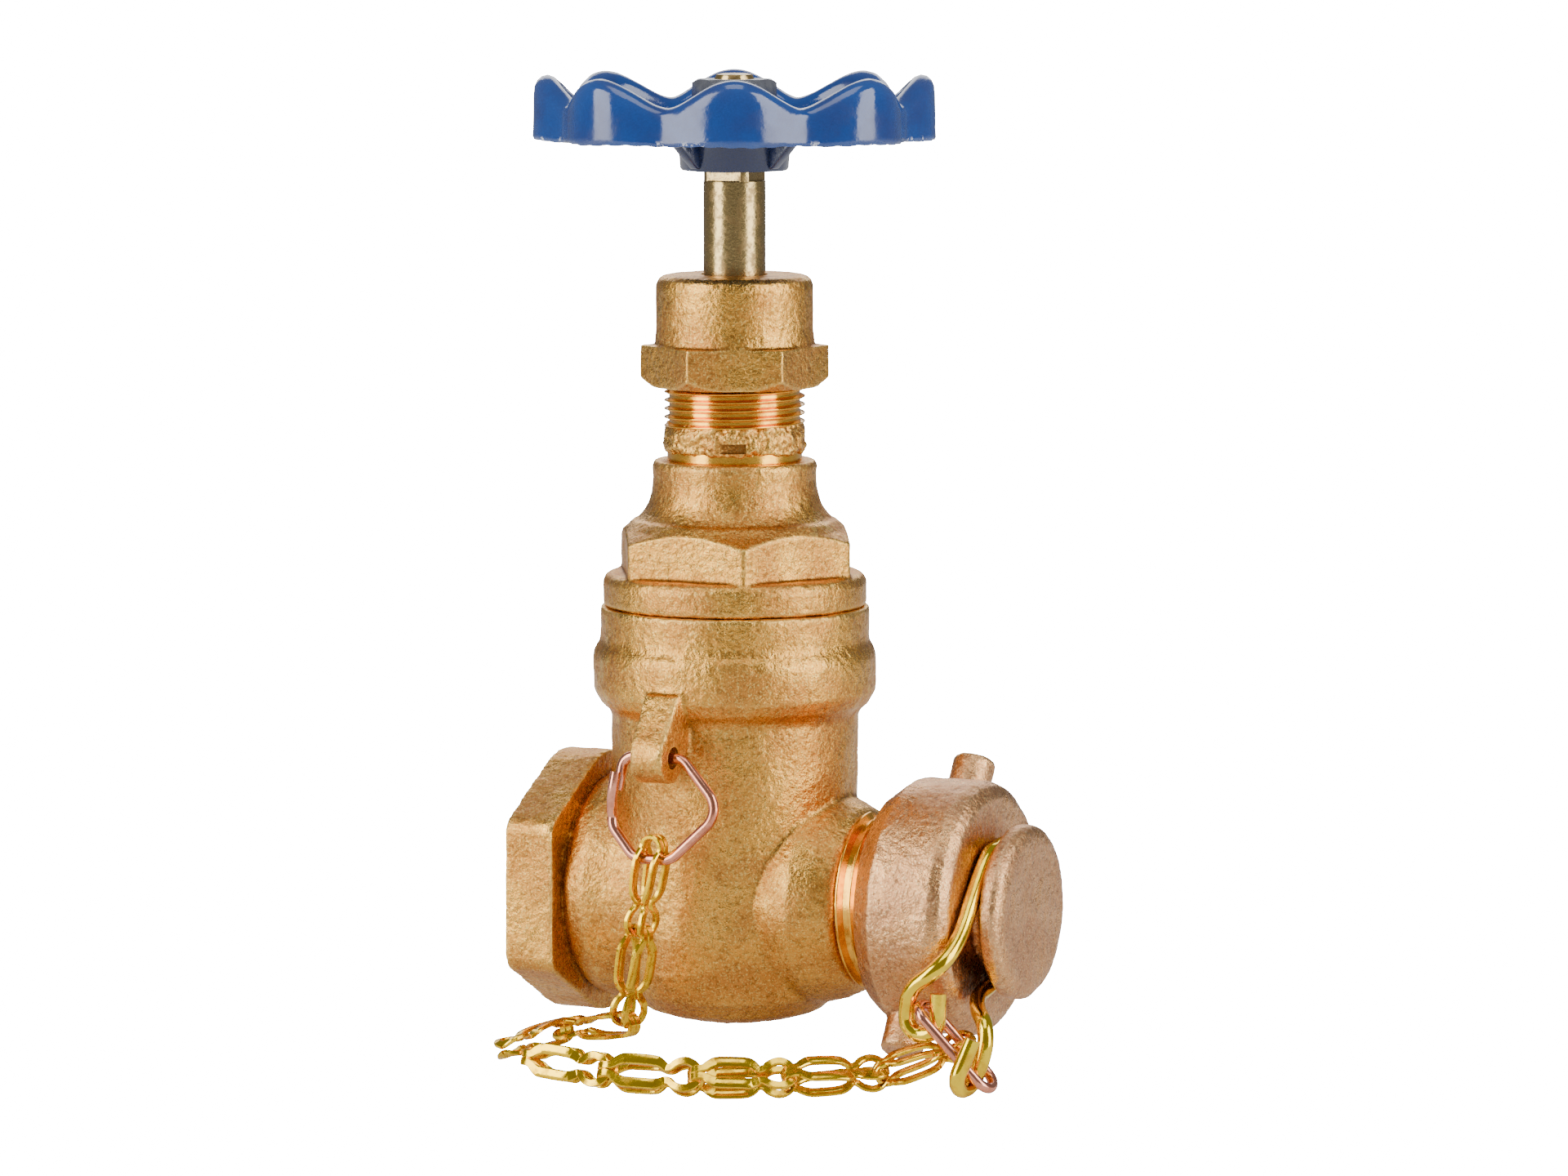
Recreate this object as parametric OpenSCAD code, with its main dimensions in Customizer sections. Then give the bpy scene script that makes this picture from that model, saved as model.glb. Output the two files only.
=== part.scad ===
/* [Valve body] */
// Face of the threaded inlet to the stem axis
stem_x = 29.5; // [29:0.5:31]
// Across flats of the inlet hexagon
inlet_hex = 38.4; // [37:0.2:40]
// Length of the inlet hexagon along the pipe
inlet_hex_len = 8; // [7:0.5:9]
// Mean diameter of the 3/4 in. taper pipe thread in the inlet
inlet_thread_d = 24.6; // [24.2:0.1:25]
// Depth of the inlet thread
inlet_thread_len = 13; // [11:0.5:13]
// Diameter of the waterway through the seats
port_d = 19; // [18:0.5:19]
// Outside diameter of the barrel that the gate moves in
barrel_d = 37.4; // [36.6:0.2:38]
// Outside diameter of the collar at the top of the body
collar_d = 42.6; // [42:0.2:43.4]
// Height of the body's top face above the pipe axis
body_top = 43.8; // [43:0.2:44.6]
// Outside diameter of the 3/4 in. garden-hose thread on the outlet
hose_thread_d = 27; // [26.6:0.1:27]

/* [Bonnet and packing] */
// Outside diameter of the bonnet flange
bonnet_flange_d = 40; // [39:0.2:41]
// Across flats of the bonnet's wrench hexagon
bonnet_hex = 33.4; // [32.4:0.2:34]
// Outside diameter of the bonnet neck
bonnet_neck_d = 24.8; // [24.4:0.2:25.4]
// Outside diameter of the stuffing-box thread
gland_thread_d = 21.2; // [21:0.1:21.2]
// Across flats of the packing nut
packing_hex = 24.6; // [24:0.2:25]
// Diameter of the packing nut above its hexagon
packing_nut_d = 23.8; // [23.4:0.1:24]

/* [Stem and handwheel] */
// Diameter of the stem through the packing
stem_d = 9.4; // [9.2:0.1:9.4]
// Diameter over the lobes of the handwheel
wheel_d = 60.8; // [58:0.4:62]
// Height of the handwheel's lower rim edge above the pipe axis
wheel_z = 114.4; // [114:0.2:115]
// Number of lobes round the handwheel
lobes = 8; // [6:1:10]
// Across flats of the handwheel nut
wheel_nut_hex = 11.1; // [10:0.1:11.4]

/* [Hose cap] */
// Outside diameter of the cap's skirt
cap_d = 38.4; // [38:0.2:39]
// Diameter of the knob on the cap's end
knob_d = 26.2; // [25:0.2:26.6]
// Diameter of the pin lugs that a spanner turns
lug_d = 6.5; // [6:0.1:6.6]
// Lean of the upper pin lug from the vertical, in degrees
lug_lean = 34; // [30:1:38]

/* [Wire and chain] */
// Diameter of the brass wire in the cap clip
clip_wire_d = 2.5; // [2.3:0.1:2.5]
// Diameter of the copper wire in the two rings
ring_wire_d = 1.6; // [1.5:0.1:1.6]
// Distance between the pivots of a chain link
link_pitch = 13.8; // [13.6:0.1:14]
// Thickness of the strip that the links are folded from
strip = 0.55; // [0.5:0.01:0.55]
// Width of a link over its long window
link_w = 5.2; // [5:0.1:5.2]

/* [Hidden] */
$fn = 64;
eps = 0.01;
bronze = "#b98a55";
brass = "#d2a63c";
copper = "#c98565";
enamel = "#23508f";

// Gate: a wedge 1.1 times the port, on seats that lean with it
wedge_tilt = 4;
wedge_half = 6.4;
wedge_r = 11.4;
seat_gap = 0.06;
gate_boss_top = 20;
cavity_r = 15.2;

// Stem levels above the pipe axis
thread_bottom = 13;
collar_z = 56.2;
collar_h = 2.2;
square_z = 108.3;
stem_square = 7.5;
stem_lead = 3.175;
stud_z = 118.2;
stem_top = 124.4;

// Hose cap stations along the pipe, from the inlet face
thread_x = stem_x + 23;
outlet_x = thread_x + 12;
cap_back = stem_x + 27.4;
cap_front = stem_x + 43.2;
knob_back = stem_x + 46.1;
knob_front = stem_x + 49.6;
groove_x = (cap_front + knob_back) / 2;
hose_lead = 2.209;
cap_neck_r = 8.6;
lug_x = stem_x + 34;

// Revolved solid about the stem axis from a radius-height outline
module turned(points) {
    translate([stem_x, 0, 0]) rotate_extrude($fn = 96) polygon(points);
}

// Revolved solid about the pipe axis: outline as [distance from the inlet face, radius]
module turned_x(points) {
    rotate([0, 90, 0]) rotate_extrude($fn = 96) polygon([for (p = points) [p[1], p[0]]]);
}

// Hexagonal prism about the stem axis, turned away from corners along X
module hex_z(across, z0, z1, turn = 0) {
    translate([stem_x, 0, z0]) rotate([0, 0, turn])
        cylinder(d = across / cos(30), h = z1 - z0, $fn = 6);
}

// Thread drawn as a row of ridges along an outline edge, from a to b
function ridges(a, b, pitch, r_out, depth) =
    [for (i = [0 : floor((b - a) / pitch) - 1]) for (k = [0 : 1])
        k == 0 ? [a + (i + 0.15) * pitch, r_out] : [a + (i + 0.75) * pitch, r_out - depth]];

// ---------- body ----------
module inlet_hexagon() {
    side = inlet_hex / 2;
    corner = 2.6;
    peak = 11.5;
    hull() {
        for (y = [-1, 1]) for (z = [-1, 1])
            translate([0, y * (side - corner), z * (side * tan(30) - corner * tan(30))])
                rotate([0, 90, 0]) cylinder(r = corner, h = inlet_hex_len, $fn = 32);
        for (z = [-1, 1])
            translate([0, 0, z * (20.1 - peak)])
                rotate([0, 90, 0]) cylinder(r = peak, h = inlet_hex_len, $fn = 64);
    }
}

module chain_lug() {
    lug_y = -24;
    lug_z = 23.4;
    translate([stem_x - 1.3, 0, 0]) difference() {
        union() {
            translate([-2.5, lug_y, lug_z]) rotate([0, 90, 0]) cylinder(r = 3.9, h = 5);
            translate([-2.5, lug_y, lug_z - 1]) cube([5, 8, 6.4]);
            translate([-2.5, lug_y - 1.2, lug_z + 1]) cube([5, 8, 6.4]);
        }
        translate([-4, lug_y, lug_z]) rotate([0, 90, 0]) cylinder(d = 3.4, h = 8);
    }
}

module body_outside() {
    turned([[0, -19.2], [9, -19], [13.6, -17.6], [16.6, -14.6], [18.2, -10], [barrel_d / 2, -4],
        [barrel_d / 2, 27.6], [19.7, 28.6], [20.8, 29.8], [collar_d / 2, 31.4], [collar_d / 2, 36.6],
        [20.5, 38], [20.4, body_top], [0, body_top]]);
    inlet_hexagon();
    turned_x([[7.5, 0], [7.5, 16.6], [10, 17.6], [15, 17.2], [stem_x, 17.2], [stem_x, 0]]);
    turned_x(concat([[stem_x, 0], [stem_x, 17], [stem_x + 15, 16.4], [stem_x + 19, 14.4],
        [thread_x - 1, 13.2], [thread_x, 13.2]],
        ridges(thread_x, outlet_x - 1.2, hose_lead, hose_thread_d / 2, 1.1),
        [[outlet_x - 1, 12.3], [outlet_x, 11.6], [outlet_x, 0]]));
    chain_lug();
}

module body_inside() {
    // Inlet thread bore, waterway and outlet bore
    translate([-eps, 0, 0]) rotate([0, 90, 0]) cylinder(d = inlet_thread_d,
        h = inlet_thread_len + eps, $fn = 96);
    rotate([0, 90, 0]) cylinder(d = port_d, h = outlet_x + 1, $fn = 96);
    // Cavity between the seats, leaning with the wedge
    intersection() {
        translate([stem_x, 0, -13]) cylinder(r = cavity_r, h = 29.5);
        translate([stem_x, 0, 0]) rotate([90, 0, 0]) linear_extrude(40, center = true) seat_gap_outline();
    }
    // Round chamber above the seats and the bonnet's socket
    translate([stem_x, 0, 16.4]) cylinder(r = cavity_r, h = 30);
    translate([stem_x, 0, 35.4]) cylinder(r = 17, h = 10);
}

module seat_gap_outline() {
    low = wedge_half + seat_gap - 13 * tan(wedge_tilt);
    high = wedge_half + seat_gap + 17 * tan(wedge_tilt);
    polygon([[-low, -13], [low, -13], [high, 17], [-high, 17]]);
}

module body() {
    color(bronze) difference() {
        body_outside();
        body_inside();
    }
}

// ---------- bonnet ----------
module bonnet() {
    color(bronze) difference() {
        union() {
            turned([[0, 36.4], [16.2, 36.4], [16.9, 37.2], [16.9, body_top],
                [bonnet_flange_d / 2 - 0.4, body_top],
                [bonnet_flange_d / 2, body_top + 0.6], [bonnet_flange_d / 2 - 0.1, 48], [19.2,
                    48.9], [0, 48.9]]);
            intersection() {
                hex_z(bonnet_hex, 48.8, 56.6);
                turned([[0, 48.8], [19.1, 48.8], [19.1, 51.8], [16.7, 55.4], [15.2, 56.6], [0, 56.6]]);
            }
            turned([[0, 54], [16.2, 54], [15.1, 56.4], [13.9, 58], [12.9, 59.6], [bonnet_neck_d / 2, 61.6],
                [12.5, 64.6], [12.5, 65.6], [12.1, 66], [0, 66]]);
        }
        turned([[0, 36.3], [14.4, 36.3], [14.4, 42.4], [10.5, 49.4], [6.5, 52.4], [stem_d / 2 + 0.12, 52.8],
            [stem_d / 2 + 0.12, collar_z - 0.1], [7, collar_z - 0.1], [7, 58.8], [0, 58.8]]);
        translate([stem_x, 0, 58.7]) cylinder(r = 8.65, h = 8);
    }
}

// ---------- stuffing box, packing and nut ----------
module stuffing_box() {
    color(bronze) difference() {
        union() {
            turned([[0, 58.8], [8.6, 58.8], [8.6, 66], [10.2, 66], [10.2, 67.4], [10.4, 67.5], [10.6, 71.4],
                [9.9, 71.7], [9.9, 72], [0, 72]]);
            intersection() {
                hex_z(20.8, 67.4, 71.5);
                turned([[0, 67.4], [10.6, 67.4], [11.1, 68], [11.1, 70.6], [10.7, 71.5], [0, 71.5]]);
            }
            translate([stem_x, 0, 0]) rotate_extrude($fn = 96)
                polygon(concat([[0, 71.9], [9.9, 71.9]],
                    [for (p = ridges(72, 82.4, 1.27, gland_thread_d / 2, 0.65)) [p[1], p[0]]],
                    [[9.8, 82.6], [0, 82.6]]));
        }
        translate([stem_x, 0, 58]) cylinder(r = stem_d / 2 + 0.08, h = 30);
        translate([stem_x, 0, 73.5]) cylinder(r = 7.25, h = 12);
    }
}

module packing_rings() {
    ring_h = 1.9;
    color("#4a4a48") for (i = [0 : 2])
        translate([stem_x, 0, 73.5 + i * (ring_h + 0.05)]) difference() {
            cylinder(r = 7.2, h = ring_h);
            translate([0, 0, -1]) cylinder(r = stem_d / 2 + 0.05, h = ring_h + 2);
        }
}

module packing_gland() {
    color(brass) difference() {
        turned([[0, 79.5], [7.15, 79.5], [7.15, 83], [9, 83], [9, 85.6], [8.2, 86], [0, 86]]);
        translate([stem_x, 0, 79]) cylinder(r = stem_d / 2 + 0.08, h = 8);
    }
}

// Turn of the packing nut about the stem, in degrees: a flat faces the chain lug
packing_nut_turn = 26;

module packing_nut() {
    color(bronze) difference() {
        union() {
            intersection() {
                hex_z(packing_hex, 77.2, 83.4, packing_nut_turn);
                turned([[0, 77.2], [12.6, 77.2], [14.1, 78.5], [14.1, 83], [13.8, 83.4], [0, 83.4]]);
            }
            turned([[0, 83.2], [12.1, 83.2], [packing_nut_d / 2, 85], [packing_nut_d / 2, 92.4],
                [11.6, 93.3],
                [10.9, 93.9], [10, 94.1], [0, 94.1]]);
        }
        translate([stem_x, 0, 77]) cylinder(r = gland_thread_d / 2 + 0.1, h = 9.1);
        translate([stem_x, 0, 80]) cylinder(r = stem_d / 2 + 0.3, h = 20);
    }
}

// ---------- stem and gate ----------
module stem() {
    thread_r = 4.2;
    half_square = stem_square / 2;
    color("#b79a52") {
        turned(concat([[0, thread_bottom], [3.4, thread_bottom]],
            [for (p = ridges(thread_bottom + 0.6, 43, stem_lead, thread_r, 0.9)) [p[1], p[0]]],
            [[thread_r, 43.4], [stem_d / 2, 44.4], [stem_d / 2, collar_z], [6.8, collar_z],
            [6.8, collar_z + collar_h], [stem_d / 2, collar_z + collar_h], [stem_d / 2, square_z],
            [0, square_z]]));
        intersection() {
            translate([stem_x, 0, square_z - eps]) cylinder(d = stem_d, h = stud_z - square_z + 2 * eps);
            translate([stem_x - half_square, -half_square, square_z - eps])
                cube([stem_square, stem_square, stud_z - square_z + 2 * eps]);
        }
        turned([[0, stud_z], [3.05, stud_z], [3.05, stem_top - 0.5], [2.6, stem_top], [0, stem_top]]);
    }
}

module gate_wedge() {
    color(bronze) difference() {
        union() {
            intersection() {
                translate([stem_x, 0, 0]) rotate([0, 90, 0]) cylinder(r = wedge_r, h = 30,
                    center = true, $fn = 96);
                translate([stem_x, 0, 0]) rotate([90, 0, 0]) linear_extrude(40,
                    center = true) wedge_outline();
            }
            translate([stem_x, 0, 8]) cylinder(r = 6.3, h = gate_boss_top - 8);
        }
        translate([stem_x, 0, -8.5]) cylinder(r = 4.3, h = 40);
    }
}

module wedge_outline() {
    low = wedge_half - 12 * tan(wedge_tilt);
    high = wedge_half + 12 * tan(wedge_tilt);
    polygon([[-low, -12], [low, -12], [high, 12], [-high, 12]]);
}

// ---------- handwheel ----------
wheel_turn = 26;
rim_steps = 96;
square_fit = 0.05;
function rim_lobe(a) = (1 + cos(lobes * a)) / 2;
// Closed section of the rim at angle a: outer foot, outer wall, crest, inner wall, inner foot
function rim_section(a) =
    let (k = rim_lobe(a), ro = wheel_d / 2 - 2.4 * (1 - k), ri = ro - 2.6 - 1.6 * k,
        top = 6 + 3.8 * pow(k, 0.8))
    [[ro, 0], [ro, top - 2], [ro - 0.7, top - 0.5], [(ro + ri) / 2, top],
     [ri + 0.5, top - 0.6], [ri - 0.4, top - 2.4], [ri - 2.2, 3], [ri - 2.2, 0.8], [ro - 1.2, 0]];
module rim() {
    n = len(rim_section(0));
    points = [for (i = [0 : rim_steps - 1]) let (a = i * 360 / rim_steps)
        for (p = rim_section(a)) [p[0] * cos(a), p[0] * sin(a), p[1]]];
    faces = [for (i = [0 : rim_steps - 1]) let (j = (i + 1) % rim_steps)
        for (k = [0 : n - 1]) let (m = (k + 1) % n)
        for (f = [[i * n + k, i * n + m, j * n + m], [i * n + k, j * n + m, j * n + k]]) f];
    polyhedron(points, faces);
}

module handwheel() {
    color(enamel) translate([stem_x, 0, wheel_z]) rotate([0, 0, wheel_turn]) difference() {
        union() {
            rim();
            translate([0, 0, 1]) cylinder(r = wheel_d / 2 - 5.8, h = 1.8, $fn = 96);
            translate([0, 0, -4.6]) cylinder(r1 = 8.2, r2 = 8.6, h = 8.4);
            for (i = [0 : 3]) rotate([0, 0, i * 90 + 45])
                translate([0, -0.9, 0]) rotate([90, 0, 0]) translate([0, 0, -1.8]) linear_extrude(1.8)
                    polygon([[6, -4.4], [8.2, -4.4], [13.5, 1.2], [6, 1.2]]);
        }
        rotate([0, 0, -wheel_turn]) intersection() {
            translate([0, 0, -8]) cylinder(d = stem_d + 2 * square_fit, h = 20);
            translate([-stem_square / 2 - square_fit, -stem_square / 2 - square_fit, -8])
                cube([stem_square + 2 * square_fit, stem_square + 2 * square_fit, 20]);
        }
    }
}

module wheel_washer() {
    color("#a9adb3") translate([stem_x, 0, stud_z + 0.02]) difference() {
        cylinder(r = 6.9, h = 0.9);
        translate([0, 0, -1]) cylinder(r = 3.2, h = 3);
    }
}

module wheel_nut() {
    nut_z = stud_z + 0.94;
    color("#a9adb3") translate([stem_x, 0, nut_z]) difference() {
        intersection() {
            rotate([0, 0, wheel_turn]) cylinder(d = wheel_nut_hex / cos(30), h = 4.4, $fn = 6);
            union() {
                cylinder(r1 = 6, r2 = 6.6, h = 0.4);
                translate([0, 0, 0.4]) cylinder(r = 6.6, h = 3.4);
                translate([0, 0, 3.8]) cylinder(r1 = 6.6, r2 = 5.4, h = 0.6);
            }
        }
        translate([0, 0, -1]) cylinder(r = 3.1, h = 8);
    }
}

// ---------- hose cap ----------
module hose_cap() {
    color("#b08a70") difference() {
        union() {
            turned_x([[cap_back, 0], [cap_back, 16.6], [cap_back + 3.6, cap_d / 2],
                [cap_front - 2.4, cap_d / 2],
                [cap_front - 0.8, 18.4], [cap_front, 17], [cap_front, cap_neck_r], [knob_back, cap_neck_r],
                [knob_back, knob_d / 2 - 0.6], [knob_back + 0.7, knob_d / 2], [knob_front - 1.2,
                    knob_d / 2],
                [knob_front - 0.3, knob_d / 2 - 0.8], [knob_front, knob_d / 2 - 2.4], [knob_front, 0]]);
            for (side = [0, 180]) translate([lug_x, 0, 0]) rotate([side - lug_lean, 0, 0])
                cylinder(r1 = lug_d / 2 + 0.15, r2 = lug_d / 2 - 0.1, h = 24.4);
        }
        translate([cap_back - 1, 0, 0]) rotate([0, 90, 0]) cylinder(r = hose_thread_d / 2 + 0.15,
            h = outlet_x + 2.6 - cap_back + 1);
    }
}

module cap_gasket() {
    color("#2b2b2b") translate([outlet_x + 0.3, 0, 0]) rotate([0, 90, 0]) difference() {
        cylinder(r = hose_thread_d / 2 + 0.1, h = 2.3);
        translate([0, 0, -1]) cylinder(r = 8.6, h = 5);
    }
}

// ---------- wire parts ----------
function unit(v) = v / norm(v);
// Half-turn hook: from point a along d, round by r towards s, then back by tail
function hook(a, d, s, r, tail, n = 8) = concat(
    [for (i = [0 : n]) a + r * s * (1 - cos(180 * i / n)) + r * d * sin(180 * i / n)],
    [a + 2 * r * s - d * tail]);
function reversed(list) = [for (i = [len(list) - 1 : -1 : 0]) list[i]];

// Tube swept along points; closed joins the last ring to the first
module wire(points, d, sides = 10, closed = false) {
    n = len(points);
    function at(i) = closed ? points[(i + n) % n] : points[max(0, min(n - 1, i))];
    tangents = [for (i = [0 : n - 1]) unit(at(i + 1) - at(i - 1))];
    start = cross(tangents[0], abs(tangents[0][1]) < 0.9 ? [0, 1, 0] : [1, 0, 0]);
    // One side direction at each point, carried along without twist
    carried = [for (i = 0, v = unit(start); i < n; i = i + 1,
        v = i < n ? unit(v - tangents[i] * (v * tangents[i])) : v) v];
    rings = [for (i = [0 : n - 1]) let (u = carried[i], w = cross(tangents[i], u))
        for (k = [0 : sides - 1]) let (a = 360 * k / sides) points[i] + d / 2 * (cos(a) * u + sin(a) * w)];
    spans = closed ? n : n - 1;
    walls = [for (i = [0 : spans - 1]) let (j = (i + 1) % n)
        for (k = [0 : sides - 1]) let (m = (k + 1) % sides)
            for (f = [[i * sides + k, j * sides + m, i * sides + m], [i * sides + k, j * sides + k,
                j * sides + m]]) f];
    ends = closed ? [] : [[for (k = [0 : sides - 1]) k], [for (k = [0 : sides - 1]) n * sides - 1 - k]];
    polyhedron(rings, concat(walls, ends));
}

// Cap clip: one turn in the neck groove, then two legs that end in hooks
clip_r = cap_neck_r + clip_wire_d / 2 + 0.12;
hook_r = 2.5;
clip_turn = [for (i = [0 : 20]) let (a = 15 - 9.2 * i) [groove_x, -clip_r * sin(a), clip_r * cos(a)]];
clip_leg_left = [[groove_x, -5, 9.3], [groove_x, -8, 7], [groove_x, -11.8, 3], [groove_x, -15.2, -0.8],
    [stem_x + 44.4, -18.4, -3.4], [stem_x + 43.5, -20.5, -5.2], [stem_x + 41.9, -21.4, -6.8],
        [stem_x + 40.1, -21.5, -8.2],
    [stem_x + 38.9, -21.3, -9.9], [stem_x + 38.4, -21, -11.6]];
clip_leg_right = [[groove_x, -2.6, -10.1], [groove_x, -5.8, -10.8], [groove_x + 0.1, -9, -11.5],
    [stem_x + 45.8, -12, -12.2],
    [stem_x + 47.4, -15, -12.9], [stem_x + 49.2, -17.3, -14], [stem_x + 50, -18.6, -16.2],
        [stem_x + 49.7, -19.1, -18.8]];
hook_left_start = [stem_x + 38.3, -20.9, -13.2];
hook_left_down = unit([0, -0.06, -1]);
hook_right_start = [stem_x + 48.9, -19.55, -21.4];
hook_right_down = unit([-0.3, -0.25, -0.92]);
hook_right_across = unit(cross(hook_right_down, cross([-0.2, -1, 0], hook_right_down)));
hook_left = hook(hook_left_start, hook_left_down, [1, 0, 0], hook_r, 3.8);
hook_right = hook(hook_right_start, hook_right_down, hook_right_across, hook_r, 5);
module cap_clip() {
    color(brass) wire(concat(reversed(hook_left), reversed(clip_leg_left), clip_turn,
        clip_leg_right, hook_right), clip_wire_d);
}

// Copper rings of bent wire: a rounded outline through corners given as [x, z, radius]
function fillet(p, q, r, steps = 5) =
    let (c = [p[0], p[1]], a = unit([r[0], r[1]] - c), b = unit([q[0], q[1]] - c), rad = p[2],
        cosine = a * b, half = acos(cosine) / 2, cut = rad / tan(half),
            centre = c + unit(a + b) * rad / sin(half),
        from = c + a * cut - centre, to = c + b * cut - centre, sweep = 180 - 2 * half)
    [for (i = [0 : steps]) let (t = i / steps)
        centre + (sin(sweep * (1 - t)) * from + sin(sweep * t) * to) / sin(sweep)];
function rounded(corners) = let (n = len(corners))
    [for (i = [0 : n - 1]) for (p = fillet(corners[i], corners[(i + 1) % n], corners[(i + n - 1) % n])) p];
lug_hole = [stem_x - 1.3, -24, 23.4];
ring_tilt = -9;
module body_ring() {
    outline = rounded([[-5.4, 0, 2], [4.4, 0, 2.2], [11, -7.4, 2.2], [3, -15.2, 2.6], [-2.4, -15.2,
        2.6], [-6.6, -10.5, 2.4]]);
    color(copper) translate(lug_hole) rotate([ring_tilt, 0, 0])
        wire([for (p = outline) [p[0], 0, p[1]]], ring_wire_d, 10, true);
}

ring_start = [stem_x + 40.7, -21.3, -11.3];
ring_along = unit([9.4, 2.2, -10.6]);
ring_across = unit([0, 1, 0] - ring_along[1] * ring_along);
ring_half = 2.4;
module cap_ring() {
    reach = 15.8;
    outline = rounded([[0, -ring_half, 2.2], [0, ring_half, 2.2], [reach, ring_half, 2.2], [reach,
        -ring_half, 2.2]]);
    color(copper) wire([for (p = outline) ring_start + p[0] * ring_along + p[1] * ring_across],
        ring_wire_d, 10, true);
}

// ---------- sash chain ----------
// Local axes of a link: X along it, Y across the strip, Z through the two leaves
fold_r = 1.3;
eye_r = 1.75;
eye_rim = 0.8;
crossbar = 0.45;
eye_x = link_pitch - crossbar - eye_r;
eye_seat = link_pitch - crossbar - 1.15;
module leaf_outline() {
    difference() {
        union() {
            polygon([[-0.05, -0.8], [0.5, -0.85], [1.8, -link_w / 2], [8.4, -link_w / 2], [9.8,
                -1.3], [10.2, -1.3],
                [10.2, 1.3], [9.8, 1.3], [8.4, link_w / 2], [1.8, link_w / 2], [0.5, 0.85], [-0.05, 0.8]]);
        }
        translate([2, 0]) circle(r = 1.35, $fn = 32);
        translate([7.2, 0]) circle(r = 1.35, $fn = 32);
        translate([2, -1.35]) square([5.2, 2.7]);
    }
}
module chain_link() {
    // Fold
    rotate([90, 0, 0]) translate([0, 0, -0.8]) difference() {
        cylinder(r = fold_r + strip, h = 1.6);
        translate([0, 0, -1]) cylinder(r = fold_r, h = 4);
        translate([0, -3, -1]) cube([6, 6, 4]);
    }
    // Leaves with their long windows
    for (side = [0, 1]) mirror([0, 0, side]) translate([0, 0, fold_r]) linear_extrude(strip) leaf_outline();
    // Waist where the leaves close, and the eye
    translate([9.6, -1.3, -fold_r - strip]) cube([0.9, 2.6, 2 * (fold_r + strip)]);
    translate([10.3, -1.3, -strip]) cube([eye_x - eye_r - 10.2, 2.6, 2 * strip]);
    translate([eye_x, 0, -strip]) difference() {
        cylinder(r = eye_r + eye_rim, h = 2 * strip);
        translate([0, 0, -1]) cylinder(r = eye_r, h = 4);
    }
}

// Hanging links: heading, dip and roll of each, in degrees, from the body ring on
hang_start = [stem_x - 0.6, -26.4, 10.3];
hang = [[183, -80, 8], [180, -81, 16], [166, -9, 0], [260, -3, 16]];
// Links from the cap ring back along the surface
run_end = ring_start + 8.6 * ring_along + ring_half * ring_across;
run = [[33, 18, 10], [37, 1, 30], [26, 0, 47], [11, -1, 63], [-8, -2, 76]];
function along(p) = [cos(p[1]) * cos(p[0]), cos(p[1]) * sin(p[0]), sin(p[1])];
// The fourth link's fold sits on the side of the third link's eye
function hang_at(i) = i == 0 ? hang_start
    : i == 3 ? hang_at(2) + eye_x * along(hang[2]) + (eye_r + eye_rim / 2) * along(hang[3])
    : hang_at(i - 1) + link_pitch * along(hang[i - 1]);
function run_at(i) = i == 0 ? run_end - eye_seat * along(run[0]) : run_at(i - 1) - link_pitch * along(run[i]);
module placed_link(p, pose) {
    color(brass) translate(p) rotate([0, -pose[1], pose[0]]) rotate([pose[2], 0, 0]) chain_link();
}
module hang_link(i) {
    placed_link(hang_at(i), hang[i]);
}
module run_link(i) {
    placed_link(run_at(i), run[i]);
}

body();
bonnet();
stuffing_box();
packing_nut();
packing_gland();
packing_rings();
stem();
gate_wedge();
handwheel();
wheel_washer();
wheel_nut();
hose_cap();
cap_gasket();
cap_clip();
body_ring();
cap_ring();
hang_link(0);  // chain_link_1
hang_link(1);  // chain_link_2
hang_link(2);  // chain_link_3
hang_link(3);  // chain_link_4
run_link(4);  // chain_link_5
run_link(3);  // chain_link_6
run_link(2);  // chain_link_7
run_link(1);  // chain_link_8
run_link(0);  // chain_link_9
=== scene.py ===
import math

import bpy
from mathutils import Matrix, Vector


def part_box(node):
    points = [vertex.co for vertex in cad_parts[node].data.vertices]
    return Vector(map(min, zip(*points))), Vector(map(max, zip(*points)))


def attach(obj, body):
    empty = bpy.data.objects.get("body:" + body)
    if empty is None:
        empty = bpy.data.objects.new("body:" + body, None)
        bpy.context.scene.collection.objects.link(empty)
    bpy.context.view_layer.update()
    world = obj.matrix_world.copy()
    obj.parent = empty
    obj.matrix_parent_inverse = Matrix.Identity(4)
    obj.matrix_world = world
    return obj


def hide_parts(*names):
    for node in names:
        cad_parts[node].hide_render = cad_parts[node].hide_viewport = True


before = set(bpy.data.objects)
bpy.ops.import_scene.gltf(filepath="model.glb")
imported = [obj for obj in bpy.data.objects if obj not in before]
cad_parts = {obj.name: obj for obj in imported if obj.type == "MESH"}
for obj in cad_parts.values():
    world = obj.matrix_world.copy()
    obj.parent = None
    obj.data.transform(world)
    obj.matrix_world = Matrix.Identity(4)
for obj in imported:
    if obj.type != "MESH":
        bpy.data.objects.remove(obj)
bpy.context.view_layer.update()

# Lengths below are in millimetres in the frame of the CAD, and MM turns them into metres.
MM = 0.001
HUB_BELOW_RIM = 4.6
wheel_low, wheel_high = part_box("handwheel")
STEM_X = round((wheel_low[0] + wheel_high[0]) / 2 / MM, 1)
STEM = Vector((STEM_X, 0, 0))
RIM_Z = round(wheel_low[2] / MM + HUB_BELOW_RIM, 1)
HEX_CORNER = 1 / math.cos(math.pi / 6)
WHEEL_TURN = math.radians(26)
NUT_TURN = math.radians(26)
LOBES = 8
HOSE_PITCH = 2.209
GLAND_PITCH = 1.27
PIPE_PITCH = 1.814
STEM_LEAD = 3.175


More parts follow.
